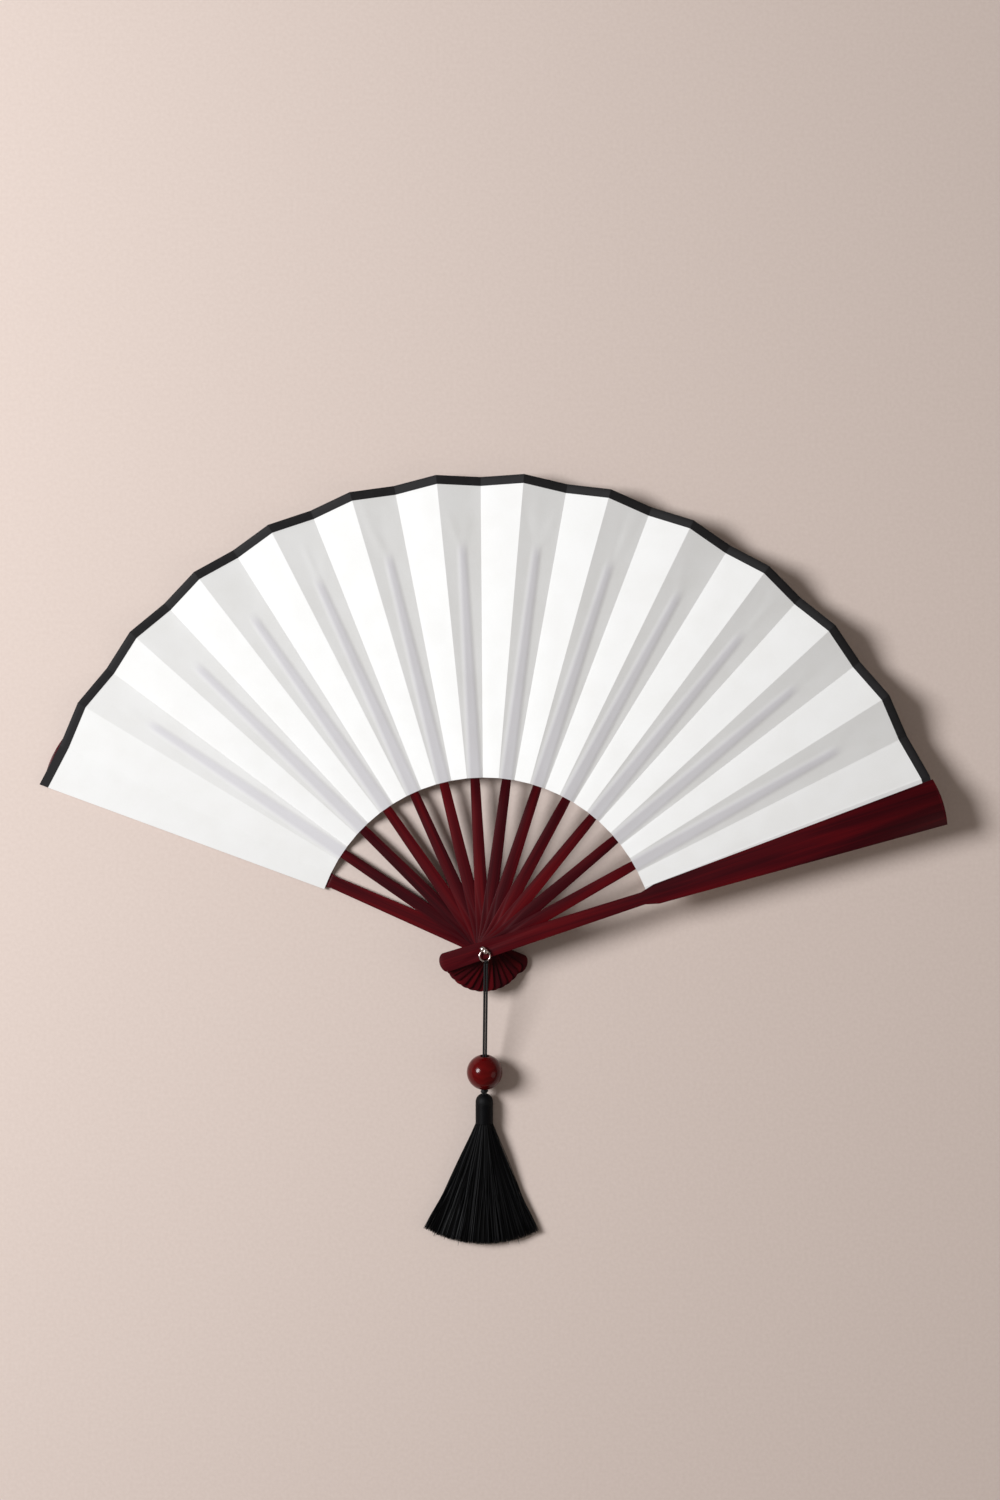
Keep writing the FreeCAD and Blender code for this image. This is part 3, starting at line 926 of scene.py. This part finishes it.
def knot(name, node, size, thick, turn):
    """A trefoil of cord in the middle of its solid in the frame."""
    low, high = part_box(node)
    centre = (low + high) / 2
    curve = bpy.data.curves.new(name, "CURVE")
    curve.dimensions = "3D"
    curve.bevel_depth = thick
    curve.bevel_resolution = 3
    spline = curve.splines.new("NURBS")
    count = 24
    spline.points.add(count - 1)
    for i, point in enumerate(spline.points):
        t = 2 * math.pi * i / count
        x, z = math.sin(t) + 2 * math.sin(2 * t), math.cos(t) - 2 * math.cos(2 * t)
        point.co = (x * size, -1.3 * math.sin(3 * t) * size, z * size, 1)
    spline.use_cyclic_u = True
    spline.order_u = 4
    only(in_scene(name, curve))
    bpy.ops.object.convert(target="MESH")
    piece = bpy.context.object
    piece.data.transform(Matrix.Translation(centre) @ Matrix.Rotation(turn, 4, "Y"))
    settle(piece, name, 60)
    finish_with(piece, CORD)
    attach(piece, "tassel")
    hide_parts(node)
    return piece


hitch = knot("hitch_knot", "ring_knot", 0.27 * MM, 0.48 * MM, 0.3)
stopper = knot("stopper_knot", "stop_knot", 0.56 * MM, 0.72 * MM, 0.9)

# %% [markdown]
# ## The bead
# A bead is ground round, drilled through and polished. A sphere stands with its poles on
# the cord's line. The faces inside the drilled hole are deleted, and a bridge between the
# two open rims makes the wall of the bore. A narrow bevel takes the edge off each rim.

# %% Bead
bead_low, bead_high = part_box("agate_bead")
bead_centre = (bead_low + bead_high) / 2
bead_radius = (bead_high.x - bead_low.x) / 2
bore_radius = 2.2 * MM
cord_line = Vector(joints["bead_slide"]["axis"]).normalized()
bead = fresh(bpy.ops.mesh.primitive_uv_sphere_add, segments=72, ring_count=48, radius=bead_radius)
bpy.ops.object.mode_set(mode="EDIT")
bpy.ops.mesh.select_all(action="DESELECT")
bpy.ops.mesh.select_mode(type="VERT")
bpy.ops.object.mode_set(mode="OBJECT")
for vertex in bead.data.vertices:
    vertex.select = math.hypot(vertex.co.x, vertex.co.y) < bore_radius
bpy.ops.object.mode_set(mode="EDIT")
bpy.ops.mesh.delete(type="VERT")
bpy.ops.mesh.select_non_manifold()
bpy.ops.mesh.bridge_edge_loops()
bpy.ops.mesh.select_all(action="SELECT")
bpy.ops.mesh.normals_make_consistent(inside=False)
bpy.ops.object.mode_set(mode="OBJECT")
modify(bead, "BEVEL", width=0.25 * MM, segments=3, limit_method="ANGLE",
       angle_limit=math.radians(40))
bead.rotation_euler = cord_line.to_track_quat("Z", "Y").to_euler()
bead.location = bead_centre
settle(bead, "bead", 30)
finish_with(bead, AGATE)
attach(bead, "bead")
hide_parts("agate_bead")
print("bead of", round(2 * bead_radius / MM, 1), "mm,", len(bead.data.polygons), "faces")

# %% [markdown]
# ## The tassel's head and neck
# The tassel is a bundle of thread folded over the cord, with a thread wound round its neck.
# The folded threads show as fine ridges up and over the dome. Both are round, so a circle
# is extruded along the tassel and scaled at each step, as a turner cuts a profile.

# %% Helper: a round shape along the tassel


def lathed(name, stations, centre_x, height, sides):
    """A closed round shape along -Y. A station is (y, radius), in metres."""
    y, radius = stations[0]
    piece = fresh(bpy.ops.mesh.primitive_circle_add, vertices=sides, radius=radius,
                  fill_type="NGON", location=(centre_x, y, height), rotation=(math.pi / 2, 0, 0))
    only(piece)
    bpy.ops.object.transform_apply(location=True, rotation=True, scale=True)
    bpy.ops.object.mode_set(mode="EDIT")
    bpy.ops.mesh.select_all(action="SELECT")
    for there, wide in stations[1:]:
        bpy.ops.mesh.extrude_region_move(TRANSFORM_OT_translate={"value": (0, there - y, 0)})
        bpy.ops.transform.resize(value=(wide / radius, 1, wide / radius),
                                 center_override=(centre_x, there, height))
        y, radius = there, wide
    bpy.ops.mesh.select_all(action="SELECT")
    bpy.ops.mesh.normals_make_consistent(inside=False)
    bpy.ops.object.mode_set(mode="OBJECT")
    piece.name = name
    return piece


def toned(piece, tones):
    """Writes a tone for each vertex, for the silk."""
    attribute = piece.data.attributes.new("thread_tone", "FLOAT", "POINT")
    attribute.data.foreach_set("value", tones)


# %% [markdown]
# The cap is a dome that runs down inside the winding. Its vertices are drawn inwards in a
# ring of shallow grooves between the bundles of thread. The winding is a plain tube whose
# radius swells and falls once for each turn of the thread.

# %% Head and neck wrap
head_low, head_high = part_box("tassel_head")
wrap_low, wrap_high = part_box("neck_wrap")
tassel_x = (wrap_low.x + wrap_high.x) / 2
tassel_z = (wrap_low.z + wrap_high.z) / 2
head_radius = (head_high.x - head_low.x) / 2
cap_radius = head_radius * 1.1
head_sides = 96
groove_depth = 0.035
wrap_radius = (wrap_high.x - wrap_low.x) / 2
dome = [(head_high.y - cap_radius * (1 - math.cos(t)), max(cap_radius * math.sin(t), 0.2 * MM))
        for t in (math.radians(90) * i / 9 for i in range(10))]
below_dome = [(wrap_high.y, cap_radius), (wrap_high.y - 2 * MM, head_radius * 0.93),
              (head_low.y, head_radius * 0.9)]
head = lathed("tassel_cap", dome + below_dome, tassel_x, tassel_z, head_sides)
for vertex in head.data.vertices:
    around = math.atan2(vertex.co.z - tassel_z, vertex.co.x - tassel_x)
    groove = 1 - groove_depth * (0.5 + 0.5 * math.cos(around * head_sides / 3))
    vertex.co.x = tassel_x + (vertex.co.x - tassel_x) * groove
    vertex.co.z = tassel_z + (vertex.co.z - tassel_z) * groove
settle(head, "tassel_cap", 60)
toned(head, [0.5] * len(head.data.vertices))
finish_with(head, SILK)
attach(head, "tassel")
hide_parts("tassel_head")

wrap_turns = 24
turn_pitch = (wrap_high.y - wrap_low.y) / wrap_turns
one_turn = ((0.2, 0.985), (0.5, 1.0), (0.8, 0.985), (1.0, 0.955))
wrap_stations = [(wrap_high.y, wrap_radius * 0.93)]
for i in range(wrap_turns):
    wrap_stations += [(wrap_high.y - (i + down) * turn_pitch, wrap_radius * swell)
                      for down, swell in one_turn]
wrap = lathed("neck_winding", wrap_stations, tassel_x, tassel_z, 48)
settle(wrap, "neck_winding", 60)
# The winding's high tone lowers its roughness, and the lighter colour it gives is a painted sheen.
toned(wrap, [0.85] * len(wrap.data.vertices))
finish_with(wrap, SILK)
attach(wrap, "tassel")
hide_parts("neck_wrap")
print("neck wound", wrap_turns, "times")

# %% [markdown]
# Where each strand starts at the ring is worked out from the cord's route and its side.

for piece, side in ((left_strand, -1), (right_strand, 1)):
    x, y, z = cord_route[0]
    (x + side * strand_offset) * MM

# %% [markdown]
# ## The tassel's skirt
# The threads fan out from the neck and settle on the surface, all about the same length, so
# their ends lie on an arc. One solid skirt would look like plastic. Many hundreds of thin
# three-sided threads are cheap, and together they look like silk. Hair particles would
# need a system that the export can't carry, so each thread is a short tube in one mesh.

# %% Skirt of threads
skirt_low, skirt_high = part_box("tassel_skirt")
neck_y = skirt_high.y
thread_length = skirt_high.y - skirt_low.y
spread = math.asin((skirt_high.x - skirt_low.x) / 2 / thread_length)
thread_count = 1500
skirt_turn = -0.028
thread_steps = 9
lowest = 0.3 * MM
neck_half_width, neck_half_depth = 4.3 * MM, 3.9 * MM
stray_share = 0.006


def thread_path(draw):
    """Points of one thread, from inside the neck to its free end."""
    turn = max(-1.0, min(1.0, draw.uniform(-1, 1) + draw.gauss(0, 0.03)))
    layer = draw.uniform(-1, 1)
    length = thread_length * (1 - abs(draw.gauss(0, 0.016)))
    if draw.random() < stray_share:
        length += draw.uniform(1.5, 4.5) * MM
    heading = turn * spread + skirt_turn
    thick = (3.3 - 1.2 * abs(turn)) * MM
    start_x = turn * neck_half_width
    start_z = tassel_z + layer * math.sqrt(max(0.0, 1 - turn * turn)) * neck_half_depth
    end_z = 0.35 * MM + (layer + 1) / 2 * 2 * thick
    sway = draw.gauss(0, 0.5) * MM
    path = []
    for i in range(thread_steps + 1):
        s = i / thread_steps
        x = start_x + (math.sin(heading) * length - start_x) * s ** 1.12
        y = neck_y + 1.5 * MM - length * math.cos(heading) * s
        z = start_z + (end_z - start_z) * ease(s, 0.0, 0.85)
        path.append(Vector((tassel_x + x + sway * math.sin(s * 4.5), y, max(z, lowest))))
    return path


draw = random.Random(17)
points, faces, tones = [], [], []
for n in range(thread_count):
    path = thread_path(draw)
    tone = draw.random()
    thin = draw.uniform(0.17, 0.26) * MM
    start = len(points)
    for i, point in enumerate(path):
        for corner in range(3):
            turn = 2 * math.pi * corner / 3 + n
            size = thin * (0.5 if i == thread_steps else 1.0)
            points.append(point + Vector((math.cos(turn), 0, math.sin(turn))) * size)
            tones.append(tone)
    for i in range(thread_steps):
        for corner in range(3):
            a, b = start + 3 * i + corner, start + 3 * i + (corner + 1) % 3
            faces.append((a, b, b + 3, a + 3))
    faces.append((start + 2, start + 1, start))
    faces.append(tuple(start + 3 * thread_steps + c for c in range(3)))
mesh = bpy.data.meshes.new("tassel_threads")
mesh.from_pydata(points, [], faces)
threads = in_scene("tassel_threads", mesh)
only(threads)
bpy.ops.object.mode_set(mode="EDIT")
bpy.ops.mesh.select_all(action="SELECT")
bpy.ops.mesh.normals_make_consistent(inside=False)
bpy.ops.object.mode_set(mode="OBJECT")
settle(threads, "tassel_threads", 80)
toned(threads, tones)
finish_with(threads, SILK)
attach(threads, "tassel")
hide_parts("tassel_skirt")
print(thread_count, "threads,", len(faces), "faces")

# %% [markdown]
# ## Floor, light and camera
# The fan lies on a pale floor. A broad light low on the left brightens every panel that
# faces it and leaves the panels that face away grey, which is what makes pleats readable.
# A weak light from the right keeps the shadows from going black.

# %% Studio
floor = fresh(bpy.ops.mesh.primitive_plane_add, size=24, location=(0, 0, -0.05 * MM))
floor.name = "floor"
floor.data.materials.append(pale_floor())


def soft_light(name, place, target, size, power, colour):
    """A round area light that is aimed at its target."""
    light = bpy.data.lights.new(name, "AREA")
    light.shape = "DISK"
    light.size = size
    light.energy = power
    light.color = colour
    lamp = in_scene(name, light)
    lamp.location = place
    lamp.rotation_euler = (Vector(target) - Vector(place)).to_track_quat("-Z", "Y").to_euler()


soft_light("key_light", (-1.46, 0.42, 1.46), (0, 0.08, 0), 0.90, 49, (0.965, 0.98, 1.0))
soft_light("fill_light", (1.7, -0.5, 1.0), (0, 0.1, 0), 1.2, 2.5, (1.0, 0.93, 0.86))
world = bpy.data.worlds.new("studio")
bpy.context.scene.world = world
world.use_nodes = True
world.node_tree.nodes["Background"].inputs["Color"].default_value = (1.0, 0.90, 0.83, 1)
world.node_tree.nodes["Background"].inputs["Strength"].default_value = 0.16
bpy.context.scene.view_settings.view_transform = "Standard"

# %% [markdown]
# The camera looks straight down from far enough away that the raised front guard isn't
# enlarged much against the rest. Its lens is worked out from the height of the view.

# %% Camera
view_height = 862.5 * MM
camera_distance = 2.0
camera = bpy.data.cameras.new("camera")
camera.sensor_fit = "VERTICAL"
camera.sensor_height = 36
camera.lens = camera.sensor_height * camera_distance / view_height
eye = in_scene("camera", camera)
eye.location = (9 * MM, 113.7 * MM, camera_distance)
bpy.context.scene.camera = eye
print("lens", round(camera.lens, 1), "mm")
